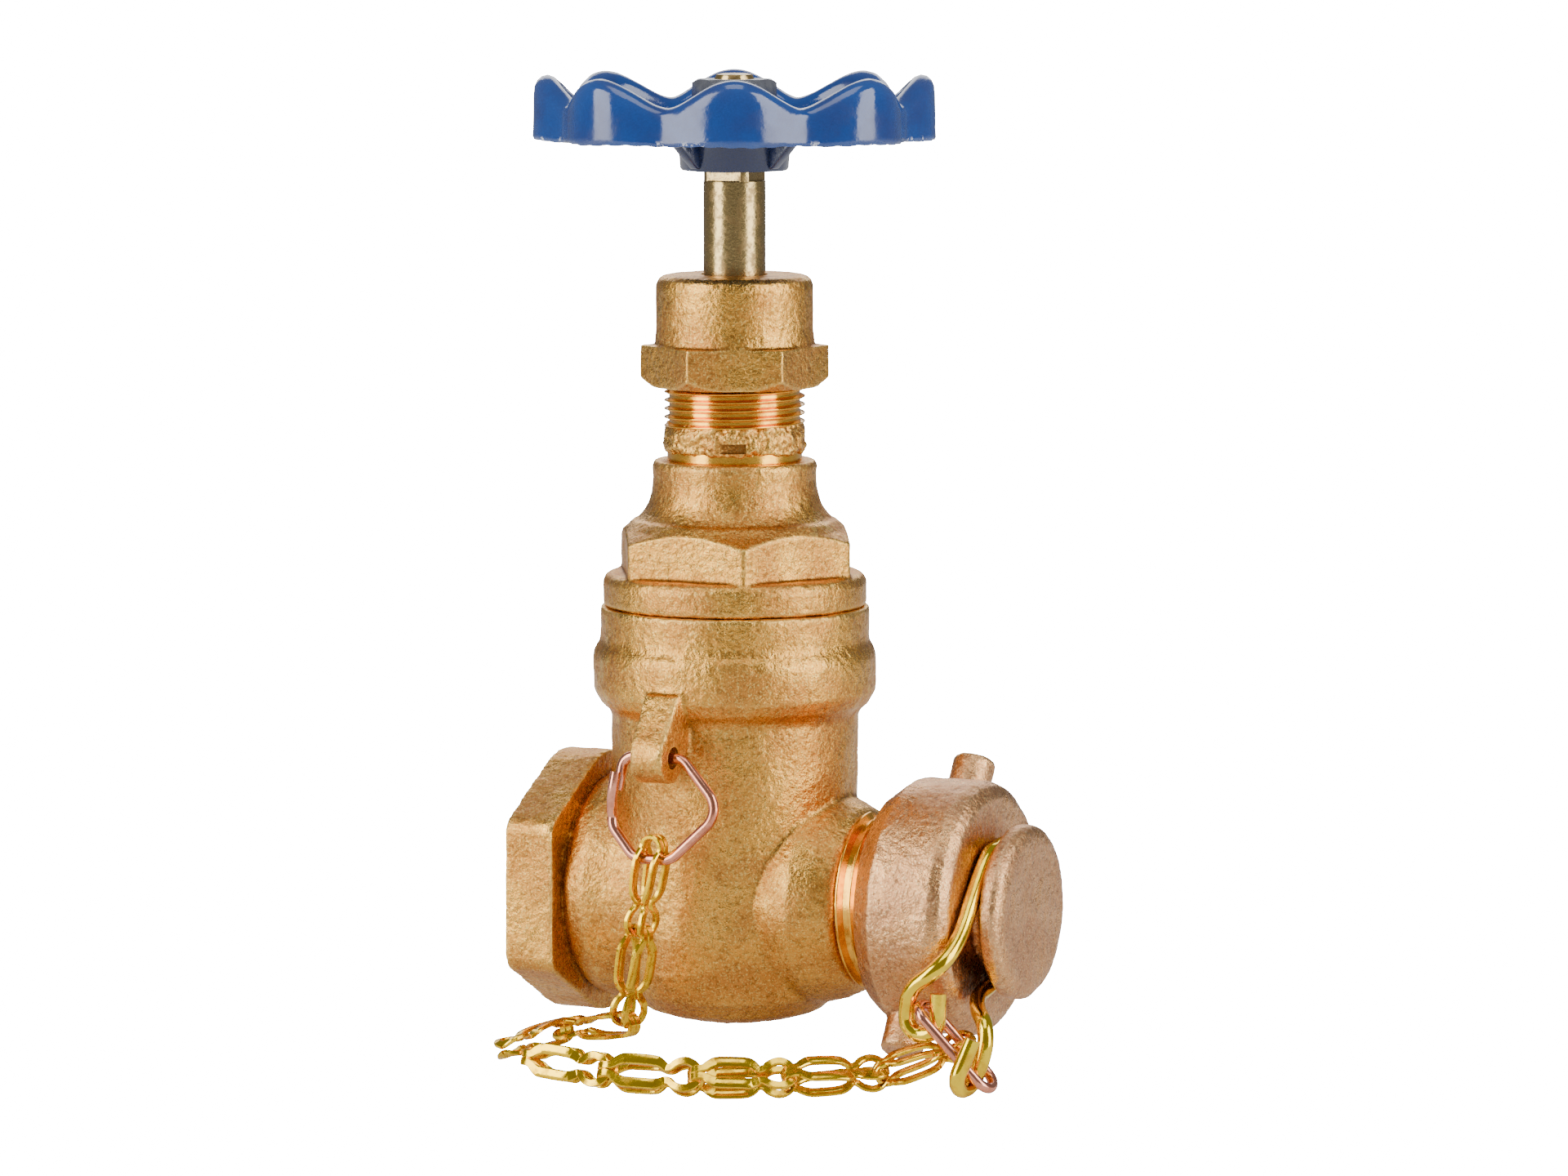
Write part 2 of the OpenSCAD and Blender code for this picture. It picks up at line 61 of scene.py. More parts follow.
# ---------- modelling helpers ----------
def deselect():
    if bpy.context.object and bpy.context.object.mode != "OBJECT":
        bpy.ops.object.mode_set(mode="OBJECT")
    bpy.ops.object.select_all(action="DESELECT")


def pick(*pieces):
    deselect()
    for piece in pieces:
        piece.select_set(True)
    bpy.context.view_layer.objects.active = pieces[0]
    return pieces[0]


def edit(piece):
    pick(piece)
    bpy.ops.object.mode_set(mode="EDIT")
    bpy.ops.mesh.select_all(action="SELECT")


def done():
    bpy.ops.object.mode_set(mode="OBJECT")


def settle(piece, name):
    """Puts a piece's place and turn into its mesh and names it."""
    pick(piece)
    bpy.ops.object.transform_apply(location=True, rotation=True, scale=True)
    piece.name = name
    piece.data.name = name
    return piece


def outward(piece, merge=1e-6):
    edit(piece)
    bpy.ops.mesh.remove_doubles(threshold=merge)
    bpy.ops.mesh.normals_make_consistent(inside=False)
    done()
    return piece


def modify(piece, kind, **values):
    pick(piece)
    step = piece.modifiers.new(kind.title(), kind)
    for key, value in values.items():
        setattr(step, key, value)
    bpy.ops.object.modifier_apply(modifier=step.name)
    return piece


def join(*pieces):
    pick(*pieces)
    bpy.ops.object.join()
    return bpy.context.object


def drawn(name, points, closed=False):
    """An open or closed outline in the XZ plane, extruded point by point, in millimetres."""
    deselect()
    bpy.ops.mesh.primitive_plane_add(size=MM)
    piece = bpy.context.object
    edit(piece)
    bpy.ops.mesh.merge(type="CENTER")
    done()
    piece.data.vertices[0].co = Vector((points[0][0], 0, points[0][1])) * MM
    edit(piece)
    for a, b in zip(points, points[1:]):
        step = Vector((b[0] - a[0], 0, b[1] - a[1])) * MM
        bpy.ops.mesh.extrude_vertices_move(TRANSFORM_OT_translate={"value": step})
    done()
    if closed:
        ends = (0, len(points) - 1)
        for vert in piece.data.vertices:
            vert.select = vert.index in ends
        bpy.ops.object.mode_set(mode="EDIT")
        bpy.ops.mesh.edge_face_add()
        done()
    piece.name = name
    return piece


def turned(name, points, axis="Z", steps=96, closed=False, place=STEM):
    """A revolved solid. Points are (radius, height) about Z, or (distance, radius) about X."""
    piece = drawn(name, points, closed)
    modify(piece, "SCREW", axis=axis, steps=steps, render_steps=steps, use_merge_vertices=True,
           merge_threshold=1e-6, use_normal_calculate=True)
    if axis == "Z":
        piece.location = place * MM
    settle(piece, name)
    return outward(piece)


def threaded(name, start, turns, pitch, r_out, depth, axis, steps=64):
    """A helical ridge, turn on turn along the axis."""
    shape = ((0, r_out - depth), (0.16, r_out - depth), (0.42, r_out - 0.04), (0.5, r_out),
             (0.58, r_out - 0.04), (0.84, r_out - depth), (1, r_out - depth))
    if axis == "X":
        points = [(start + a * pitch, r) for a, r in shape]
    else:
        points = [(r, start + a * pitch) for a, r in shape]
    piece = drawn(name, points)
    modify(piece, "SCREW", axis=axis, steps=steps, render_steps=steps, screw_offset=pitch * MM,
           iterations=turns, use_merge_vertices=False)
    if axis == "Z":
        piece.location = STEM * MM
    settle(piece, name)
    return outward(piece, 2e-6)


def prism(name, sides, radius, depth, centre, axis="Z", turn=0.0, bevel=0.0):
    """A prism centred on a point; a hexagon about Z has corners along X before its turn."""
    deselect()
    rotation = (0, math.pi / 2, 0) if axis == "X" else (0, 0, turn + math.pi / 6)
    bpy.ops.mesh.primitive_cylinder_add(vertices=sides, radius=radius * MM, depth=depth * MM,
                                        location=Vector(centre) * MM, rotation=rotation)
    piece = settle(bpy.context.object, name)
    if bevel:
        modify(piece, "BEVEL", width=bevel * MM, segments=3, limit_method="ANGLE")
    return piece


def block(name, size, centre, bevel=0.0, turn=None):
    deselect()
    bpy.ops.mesh.primitive_cube_add(size=1, location=Vector(centre) * MM)
    piece = bpy.context.object
    piece.scale = Vector(size) * MM
    if turn:
        piece.rotation_euler = turn
    settle(piece, name)
    if bevel:
        modify(piece, "BEVEL", width=bevel * MM, segments=4, limit_method="ANGLE")
    return piece


def combine(piece, other, operation):
    modify(piece, "BOOLEAN", operation=operation, object=other, solver="EXACT")
    bpy.data.objects.remove(other, do_unlink=True)
    return piece


noise_count = 0


def uneven(piece, size, strength):
    """Small unevenness of a sand casting, size and strength in millimetres."""
    global noise_count
    noise_count += 1
    clouds = bpy.data.textures.new("casting_%d" % noise_count, "CLOUDS")
    clouds.noise_scale = size * MM
    clouds.noise_depth = 3
    return modify(piece, "DISPLACE", texture=clouds, texture_coords="LOCAL", strength=strength * MM,
                  mid_level=0.5)


def cast(name, solids, voxel, rounds, rough, cores=()):
    """One casting: the solids run together, are softened and roughened, and are then bored."""
    piece = join(*solids) if len(solids) > 1 else solids[0]
    modify(piece, "REMESH", mode="VOXEL", voxel_size=voxel * MM, use_smooth_shade=True)
    modify(piece, "SMOOTH", factor=0.5, iterations=rounds)
    for size, strength in rough:
        uneven(piece, size, strength)
    for core in cores:
        combine(piece, core, "DIFFERENCE")
    settle(piece, name)
    return smooth(piece, 40)


def smooth(piece, angle=35):
    pick(piece)
    bpy.ops.object.shade_smooth_by_angle(angle=math.radians(angle))
    return piece


def through(points, fine):
    """A smooth curve through points, with a number of steps between each two."""
    points = [Vector(p) for p in points]
    count = len(points)
    curve = []
    for i in range(count - 1):
        a, b, c, d = (points[max(0, min(count - 1, i + k))] for k in (-1, 0, 1, 2))
        for k in range(fine):
            t = k / fine
            curve.append(0.5 * (2 * b + (c - a) * t + (2 * a - 5 * b + 4 * c - d) * t * t
                                + (3 * b - a - 3 * c + d) * t ** 3))
    curve.append(points[-1])
    return curve


def wire(name, points, diameter, closed=False):
    """A round wire along points in millimetres."""
    data = bpy.data.curves.new(name, "CURVE")
    data.dimensions = "3D"
    line = data.splines.new("POLY")
    line.points.add(len(points) - 1)
    for spot, p in zip(line.points, points):
        spot.co = (p[0] * MM, p[1] * MM, p[2] * MM, 1)
    line.use_cyclic_u = closed
    data.bevel_depth = diameter / 2 * MM
    data.bevel_resolution = 6
    data.use_fill_caps = not closed
    piece = bpy.data.objects.new(name, data)
    bpy.context.collection.objects.link(piece)
    pick(piece)
    bpy.ops.object.convert(target="MESH")
    piece = outward(bpy.context.object, 1e-7)
    return smooth(piece, 60)


def coat(piece, finish):
    piece.data.materials.clear()
    piece.data.materials.append(finish)
    return piece


def place(piece, body, slot, finish, *nodes):
    coat(piece, finish)
    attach(piece, body)
    if nodes:
        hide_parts(*nodes)
    return piece


# ---------- finishes ----------
def add(tree, kind, **values):
    made = tree.nodes.new(kind)
    for key, value in values.items():
        if hasattr(made, key):
            setattr(made, key, value)
        else:
            made.inputs[key.replace("_", " ")].default_value = value
    return made


def blend_colours(tree, mask, a, b, kind="MIX"):
    mix = add(tree, "ShaderNodeMix", data_type="RGBA", blend_type=kind)
    for socket, value in ((mix.inputs[0], mask), (mix.inputs[6], a), (mix.inputs[7], b)):
        if isinstance(value, bpy.types.NodeSocket):
            tree.links.new(value, socket)
        else:
            socket.default_value = value
    return mix.outputs[2]


def ramp(tree, value, low, high, a=0.0, b=1.0):
    span = add(tree, "ShaderNodeMapRange", interpolation_type="SMOOTHSTEP")
    for spot, number in zip(span.inputs[1:5], (low, high, a, b)):
        spot.default_value = number
    tree.links.new(value, span.inputs[0])
    return span.outputs[0]


def maths(tree, operation, a, b):
    sum_ = add(tree, "ShaderNodeMath", operation=operation)
    for socket, value in zip(sum_.inputs, (a, b)):
        if isinstance(value, bpy.types.NodeSocket):
            tree.links.new(value, socket)
        else:
            socket.default_value = value
    return sum_.outputs[0]


def noise(tree, place_, scale, detail=3.0, rough=0.55):
    cloud = add(tree, "ShaderNodeTexNoise")
    cloud.inputs["Detail"].default_value = detail
    cloud.inputs["Roughness"].default_value = rough
    if isinstance(scale, bpy.types.NodeSocket):
        tree.links.new(scale, cloud.inputs["Scale"])
    else:
        cloud.inputs["Scale"].default_value = scale
    tree.links.new(place_, cloud.inputs["Vector"])
    return cloud.outputs["Fac"]


def group(name, inputs, outputs):
    tree = bpy.data.node_groups.new(name, "ShaderNodeTree")
    for label, value in inputs:
        socket = tree.interface.new_socket(label, in_out="INPUT", socket_type="NodeSocketFloat")
        socket.default_value = value
    for label in outputs:
        tree.interface.new_socket(label, in_out="OUTPUT", socket_type="NodeSocketFloat")
    enter = tree.nodes.new("NodeGroupInput")
    leave = tree.nodes.new("NodeGroupOutput")
    return tree, enter.outputs, leave.inputs


def grain_group():
    """Sand grain, bright specks, dark pits and wide blotches of a casting."""
    tree, given, out = group("sand_grain", (("Size", 0.5), ("Blotch Size", 9.0)),
                             ("Height", "Specks", "Pits", "Blotches"))
    where = add(tree, "ShaderNodeTexCoord").outputs["Object"]
    scale = maths(tree, "DIVIDE", 1000.0, given["Size"])
    coarse = noise(tree, where, scale, 4.0, 0.62)
    fine = noise(tree, where, maths(tree, "MULTIPLY", scale, 2.7), 2.0)
    pits = add(tree, "ShaderNodeTexVoronoi")
    tree.links.new(where, pits.inputs["Vector"])
    tree.links.new(maths(tree, "MULTIPLY", scale, 0.8), pits.inputs["Scale"])
    rise = maths(tree, "ADD", coarse, maths(tree, "MULTIPLY", fine, 0.45))
    tree.links.new(maths(tree, "ADD", rise, maths(tree, "MULTIPLY", pits.outputs["Distance"], 0.35)),
                   out["Height"])
    tree.links.new(ramp(tree, fine, 0.52, 0.66), out["Specks"])
    tree.links.new(ramp(tree, coarse, 0.5, 0.36), out["Pits"])
    wide = noise(tree, where, maths(tree, "DIVIDE", 1000.0, given["Blotch Size"]), 4.0)
    tree.links.new(ramp(tree, wide, 0.36, 0.66), out["Blotches"])
    return tree


def edge_group():
    """Raised edges and concave corners of a surface; the corner mask is used for painted shade in corners.
    """
    tree, given, out = group("edges", (("Reach", 0.03),), ("Raised", "Corner Shade"))
    point = add(tree, "ShaderNodeNewGeometry").outputs["Pointiness"]
    up = maths(tree, "ADD", 0.5, given["Reach"])
    down = maths(tree, "SUBTRACT", 0.5, given["Reach"])
    for label, end in (("Raised", up), ("Corner Shade", down)):
        span = add(tree, "ShaderNodeMapRange", interpolation_type="SMOOTHSTEP")
        tree.links.new(point, span.inputs[0])
        span.inputs[1].default_value = 0.5
        tree.links.new(end, span.inputs[2])
        tree.links.new(span.outputs[0], out[label])
    return tree


def scratch_group():
    """Fine turning lines and scuffs of drawn or turned metal."""
    tree, given, out = group("turning_lines", (("Line Size", 0.2), ("Scuff Size", 4.0)),
                             ("Height", "Scuffs"))
    where = add(tree, "ShaderNodeTexCoord").outputs["Object"]
    lines = noise(tree, where, maths(tree, "DIVIDE", 1000.0, given["Line Size"]), 2.0)
    tree.links.new(lines, out["Height"])
    scuffs = noise(tree, where, maths(tree, "DIVIDE", 1000.0, given["Scuff Size"]), 5.0, 0.65)
    tree.links.new(ramp(tree, scuffs, 0.42, 0.68), out["Scuffs"])
    return tree


GRAIN = grain_group()
EDGES = edge_group()
LINES = scratch_group()


def use(tree, made, **values):
    node = tree.nodes.new("ShaderNodeGroup")
    node.node_tree = made
    for key, value in values.items():
        node.inputs[key.replace("_", " ")].default_value = value
    return node.outputs


def start(name, metallic, **values):
    finish = bpy.data.materials.new(name)
    finish.use_nodes = True
    tree = finish.node_tree
    shader = tree.nodes["Principled BSDF"]
    shader.inputs["Metallic"].default_value = metallic
    for key, value in values.items():
        shader.inputs[key.replace("_", " ")].default_value = value
    return finish, tree, shader


def bump(tree, shader, height, distance, strength=1.0):
    node = add(tree, "ShaderNodeBump", Strength=strength, Distance=distance * MM)
    tree.links.new(height, node.inputs["Height"])
    tree.links.new(node.outputs[0], shader.inputs["Normal"])


def cast_finish(name, main, shade, bright, dark, size=0.8, depth=0.17, metallic=1.0, rough=(0.26, 0.4)):
    finish, tree, shader = start(name, metallic)
    grain = use(tree, GRAIN, Size=size, Blotch_Size=8.0)
    edge = use(tree, EDGES, Reach=0.05)
    colour = blend_colours(tree, grain["Blotches"], main, shade)
    colour = blend_colours(tree, maths(tree, "MULTIPLY", grain["Pits"], 0.42), colour, dark)
    colour = blend_colours(tree, maths(tree, "MULTIPLY", grain["Specks"], 0.6), colour, bright)
    colour = blend_colours(tree, maths(tree, "MULTIPLY", edge["Raised"], 0.4), colour, bright)
    # painted shade: concave corners are darkened toward the dark colour
    colour = blend_colours(tree, maths(tree, "MULTIPLY", edge["Corner Shade"], 0.75), colour, dark)
    tree.links.new(colour, shader.inputs["Base Color"])
    tree.links.new(ramp(tree, grain["Blotches"], 0, 1, rough[0], rough[1]), shader.inputs["Roughness"])
    bump(tree, shader, grain["Height"], depth)
    return finish


def metal_finish(name, main, worn_and_shade, metallic=1.0, rough=(0.16, 0.34), line=0.25, depth=0.01, scuff=3.0):
    finish, tree, shader = start(name, metallic)
    mark = use(tree, LINES, Line_Size=line, Scuff_Size=scuff)
    edge = use(tree, EDGES, Reach=0.08)
    colour = blend_colours(tree, maths(tree, "MULTIPLY", mark["Scuffs"], 0.7), main, worn_and_shade)
    # painted shade: concave corners are tinted toward the second colour
    colour = blend_colours(tree, maths(tree, "MULTIPLY", edge["Corner Shade"], 0.7), colour, worn_and_shade)
    tree.links.new(colour, shader.inputs["Base Color"])
    tree.links.new(ramp(tree, mark["Scuffs"], 0, 1, rough[0], rough[1]), shader.inputs["Roughness"])
    bump(tree, shader, mark["Height"], depth)
    return finish


BRONZE = cast_finish("sand_cast_bronze", (0.82, 0.4, 0.065, 1), (0.62, 0.26, 0.05, 1), (1, 0.72, 0.2, 1),
                     (0.15, 0.045, 0.012, 1))
CAP_BRONZE = cast_finish("pink_cast_bronze", (0.78, 0.39, 0.15, 1), (0.6, 0.29, 0.13, 1), (1, 0.7, 0.34, 1),
                         (0.18, 0.07, 0.035, 1))
TURNED = metal_finish("turned_brass", (0.95, 0.5, 0.06, 1), (0.6, 0.24, 0.02, 1), rough=(0.14, 0.28))
STEM_BRASS = metal_finish("stem_brass", (0.56, 0.4, 0.16, 1), (0.2, 0.12, 0.05, 1), rough=(0.2, 0.4),
                          scuff=1.6, line=0.4, depth=0.03)
CHAIN_BRASS = metal_finish("stamped_brass", (1, 0.64, 0.02, 1), (0.45, 0.22, 0.005, 1), rough=(0.14, 0.32),
                           scuff=1.8)
WIRE_BRASS = metal_finish("drawn_brass", (1, 0.72, 0.03, 1), (0.75, 0.4, 0.01, 1), rough=(0.1, 0.2),
                          scuff=3.0)
COPPER = metal_finish("copper_wire", (0.9, 0.38, 0.24, 1), (0.55, 0.18, 0.1, 1), rough=(0.12, 0.26),
                      scuff=2.5)
ZINC = metal_finish("zinc_plate", (0.6, 0.62, 0.68, 1), (0.2, 0.21, 0.24, 1), rough=(0.18, 0.36), scuff=1.5)
RUBBER = metal_finish("black_rubber", (0.03, 0.03, 0.03, 1), (0.06, 0.06, 0.06, 1), metallic=0.0,
                      rough=(0.6, 0.8))
CORD = metal_finish("packing_braid", (0.08, 0.08, 0.08, 1), (0.16, 0.16, 0.15, 1), metallic=0.0,
                    rough=(0.5, 0.8))


def enamel_finish():
    finish, tree, shader = start("blue_enamel", 0.0, Coat_Weight=0.35, Coat_Roughness=0.08,
                                 Specular_IOR_Level=0.6)
    grain = use(tree, GRAIN, Size=2.6, Blotch_Size=7.0)
    edge = use(tree, EDGES, Reach=0.1)
    colour = blend_colours(tree, grain["Blotches"], (0.006, 0.05, 0.23, 1), (0.01, 0.035, 0.17, 1))
    # painted highlight: raised crests are lightened toward pale blue
    colour = blend_colours(tree, maths(tree, "MULTIPLY", edge["Raised"], 0.12), colour, (0.2, 0.3, 0.6, 1))
    where = add(tree, "ShaderNodeTexCoord").outputs["Object"]
    high = add(tree, "ShaderNodeSeparateXYZ")
    tree.links.new(where, high.inputs[0])
    low_lip = ramp(tree, high.outputs["Z"], (RIM_Z + 1.0) * MM, (RIM_Z + 0.15) * MM)
    above_hub = ramp(tree, high.outputs["Z"], (RIM_Z - 0.8) * MM, (RIM_Z - 0.3) * MM)
    low_lip = maths(tree, "MULTIPLY", low_lip, above_hub)
    # painted shade: the hub below the rim is painted dark navy
    colour = blend_colours(tree, above_hub, (0.004, 0.012, 0.06, 1), colour)
    chips = ramp(tree, noise(tree, where, 420.0, 4.0, 0.7), 0.58, 0.62)
    bare = maths(tree, "MULTIPLY", low_lip, chips)
    colour = blend_colours(tree, bare, colour, (0.72, 0.74, 0.85, 1))
    tree.links.new(colour, shader.inputs["Base Color"])
    tree.links.new(ramp(tree, grain["Blotches"], 0, 1, 0.12, 0.24), shader.inputs["Roughness"])
    bump(tree, shader, grain["Height"], 0.05)
    return finish


ENAMEL = enamel_finish()


# ---------- body ----------
LUG_EYE = (28.2, -24, 23.4)


def body_core():
    """The hollow inside the body: chamber, seats and waterway."""
    chamber = turned("chamber", [(0, -13), (11.4, -13), (15.2, -9), (15.2, 35.4), (17, 35.4), (17, 45),
                                 (0, 45)])
    water = turned("water", [(-1, 0), (-1, 12.3), (13, 12.3), (13, 9.5), (66, 9.5), (66, 0)], axis="X")
    return chamber, water


def make_body():
    barrel = turned("barrel", [(0, -19.3), (6, -19.25), (10, -18.9), (13.6, -17.7), (16.4, -15), (18, -11),
                               (18.75, -5), (18.75, 27.4), (19.2, 28.2), (20.4, 29.2), (21.4, 31),
                               (21.5, 33), (21.5, 36.2), (21.2, 37.4), (20.6, 38.2), (20.45, 39),
                               (20.45, 43.85), (0, 43.85)])
    hexagon = [prism("corner", 32, 2.6, 8, (4, y, z), "X") for y in (-16.65, 16.65) for z in (-9.55, 9.55)]
    hexagon += [prism("peak", 64, 11.5, 8, (4, 0, z), "X") for z in (-8.7, 8.7)]
    wrench = join(*hexagon)
    edit(wrench)
    bpy.ops.mesh.convex_hull()
    done()
    inlet = turned("inlet", [(6.5, 0), (6.5, 16), (8.6, 16.6), (9.6, 17.4), (12, 17.9), (16, 17.4),
                             (20, 17.4), (STEM_X, 17.6), (STEM_X, 0)], axis="X")
    outlet = turned("outlet", [(STEM_X, 0), (STEM_X, 16), (38, 15.2), (42.5, 15.9), (45.6, 16.1),
                               (48.8, 15.2), (51.4, 13.9), (52, 13.3), (52.2, 12.5), (52.2, 0)], axis="X")
    lug = join(prism("tip", 32, 3.9, 5.2, LUG_EYE, "X"), block("root", (5.8, 5, 6), (28.2, -20, 29.4)))
    edit(lug)
    bpy.ops.mesh.convex_hull()
    done()
    chamber, water = body_core()
    eye = prism("eye", 32, 1.7, 12, LUG_EYE, "X")
    return cast("valve_body", [barrel, wrench, inlet, outlet, lug], 0.4, 4,
                ((5.5, 0.36), (1.3, 0.14)), (chamber, water, eye))


place(make_body(), "valve", "cast_bronze", BRONZE, "body")

hose_thread = threaded("hose_thread", 51.1, 6, HOSE_PITCH, 13.5, 1.05, "X")
place(smooth(hose_thread, 30), "valve", "turned_brass", TURNED)
hose_end = turned("hose_end", [(51.9, 9.5), (51.9, 12.5), (63.2, 12.5), (64.4, 11.6), (64.5, 9.5)],
                  axis="X", closed=True)
place(smooth(hose_end), "valve", "turned_brass", TURNED)
inlet_thread = threaded("inlet_thread", 0.1, 7, PIPE_PITCH, 12.55, 1.0, "X")
place(smooth(inlet_thread, 30), "valve", "turned_brass", TURNED)


# ---------- bonnet ----------
def make_bonnet():
    flange = turned("flange", [(0, 36.4), (16.9, 36.4), (16.9, 43.9), (19.7, 43.9), (20, 44.4), (20, 47.6),
                               (19.6, 48.5), (18.8, 48.95), (0, 48.95)])
    hexagon = prism("wrench_faces", 6, 33.6 / 2 * HEX_CORNER, 9, (STEM_X, 0, 52.8), bevel=0.35)
    cone = turned("cone", [(0, 48), (19.5, 48), (19.5, 53.9), (16.9, 55.6), (15.4, 57), (0, 57.3)])
    combine(hexagon, cone, "INTERSECT")
    neck = turned("neck", [(0, 50), (16, 55.4), (15.6, 56.2), (14.8, 57.1), (13.9, 58.1), (13.1, 59.4),
                           (12.6, 61), (12.4, 63), (12.45, 64.4), (12.5, 65.3), (12.1, 66), (0, 66)])
    core = turned("bonnet_core", [(0, 36), (14.4, 36), (14.4, 42.4), (10.5, 49.4), (7, 52.4), (7, 58.8),
                                  (8.65, 58.8), (8.65, 68), (0, 68)])
    return cast("bonnet_casting", [flange, hexagon, neck], 0.3, 3, ((4, 0.22), (1.1, 0.12)), (core,))


place(make_bonnet(), "valve", "cast_bronze", BRONZE, "bonnet")


# ---------- stuffing box and packing nut ----------
def make_rough_band():
    hexagon = prism("band_faces", 6, 12.1, 4.4, (STEM_X, 0, 69.5), bevel=0.4)
    ring = turned("band_ring", [(0, 67.2), (10.5, 67.2), (11.05, 68.2), (11, 69.8), (10.5, 71.2),
                                (10.1, 72.2), (0, 72.2)])
    combine(hexagon, ring, "INTERSECT")
    core = turned("band_core", [(0, 66), (8, 66), (8, 73), (0, 73)])
    notch = block("notch", (4, 2.4, 1.5), (34.3, -10.5, 68.5), turn=(0, 0, math.radians(25)))
    return cast("rough_band", [hexagon], 0.18, 2, ((1.9, 0.95), (0.7, 0.4)), (core, notch))


shoulder = turned("packing_shoulder", [(5, 58.9), (8.6, 58.9), (8.6, 65.9), (10.1, 65.9), (10.25, 66.1),
                                       (10.25, 67.5), (10, 67.7), (5, 67.7)], closed=True)
place(smooth(shoulder), "valve", "turned_brass", TURNED, "stuffing_box")
place(make_rough_band(), "valve", "cast_bronze", BRONZE)
tube_wall = turned("gland_tube", [(7.3, 67.5), (9.92, 67.5), (9.92, 82.4), (7.3, 82.4)], closed=True)
place(smooth(tube_wall), "valve", "turned_brass", TURNED)
gland_thread = threaded("gland_thread", 69.9, 10, GLAND_PITCH, 10.7, 0.8, "Z")
place(smooth(gland_thread, 30), "valve", "turned_brass", TURNED)


def make_packing_nut():
    faces = prism("nut_faces", 6, 24.8 / 2 * HEX_CORNER, 6.3, (STEM_X, 0, 80.3), turn=NUT_TURN, bevel=0.15)
    limit = turned("nut_limit", [(0, 77.1), (12.5, 77.1), (14.4, 78.7), (14.4, 83.2), (14.2, 83.6),
                                 (0, 83.6)])
    combine(faces, limit, "INTERSECT")
    dome = turned("nut_dome", [(0, 83), (12.15, 83), (12.05, 84.4), (11.9, 86), (11.9, 92.3), (11.6, 93.3),
                               (10.9, 93.9), (10, 94.1), (0, 94.1)])
    core = turned("nut_core", [(0, 76), (10.75, 76), (10.75, 86.1), (5.1, 86.1), (5.1, 96), (0, 96)])
    return cast("packing_nut_casting", [faces, dome], 0.24, 1, ((3.5, 0.2), (1.0, 0.1)), (core,))


place(make_packing_nut(), "valve", "cast_bronze", BRONZE, "packing_nut")


# ---------- stem and gate ----------
def make_stem():
    rod = turned("rod", [(0, 43.2), (4.2, 43.2), (4.7, 44.4), (4.7, 56.2), (6.8, 56.2), (6.8, 58.4),
                         (4.7, 58.4), (4.7, 108.2), (4.55, 108.35), (0, 108.35)])
    square = block("square", (7.5, 7.5, 10.2), (STEM_X, 0, 113.1))
    round_limit = turned("round_limit", [(0, 107), (4.7, 107), (4.7, 119), (0, 119)])
    combine(square, round_limit, "INTERSECT")
    stud = turned("stud", [(0, 118), (3.05, 118), (3.05, 123.5), (2.7, 124.2), (1.8, 124.4), (0, 124.4)])
    piece = join(rod, square, stud)
    return smooth(settle(piece, "valve_stem"), 30)


place(make_stem(), "wheel_and_stem", "turned_brass", STEM_BRASS, "stem")
screw_core = turned("screw_core", [(0, 13), (3.4, 13), (3.4, 43.3), (0, 43.3)])
screw = join(screw_core, threaded("screw", 13.2, 9, STEM_LEAD, 4.2, 0.9, "Z"))
place(smooth(settle(screw, "stem_screw"), 30), "wheel_and_stem", "turned_brass", STEM_BRASS)


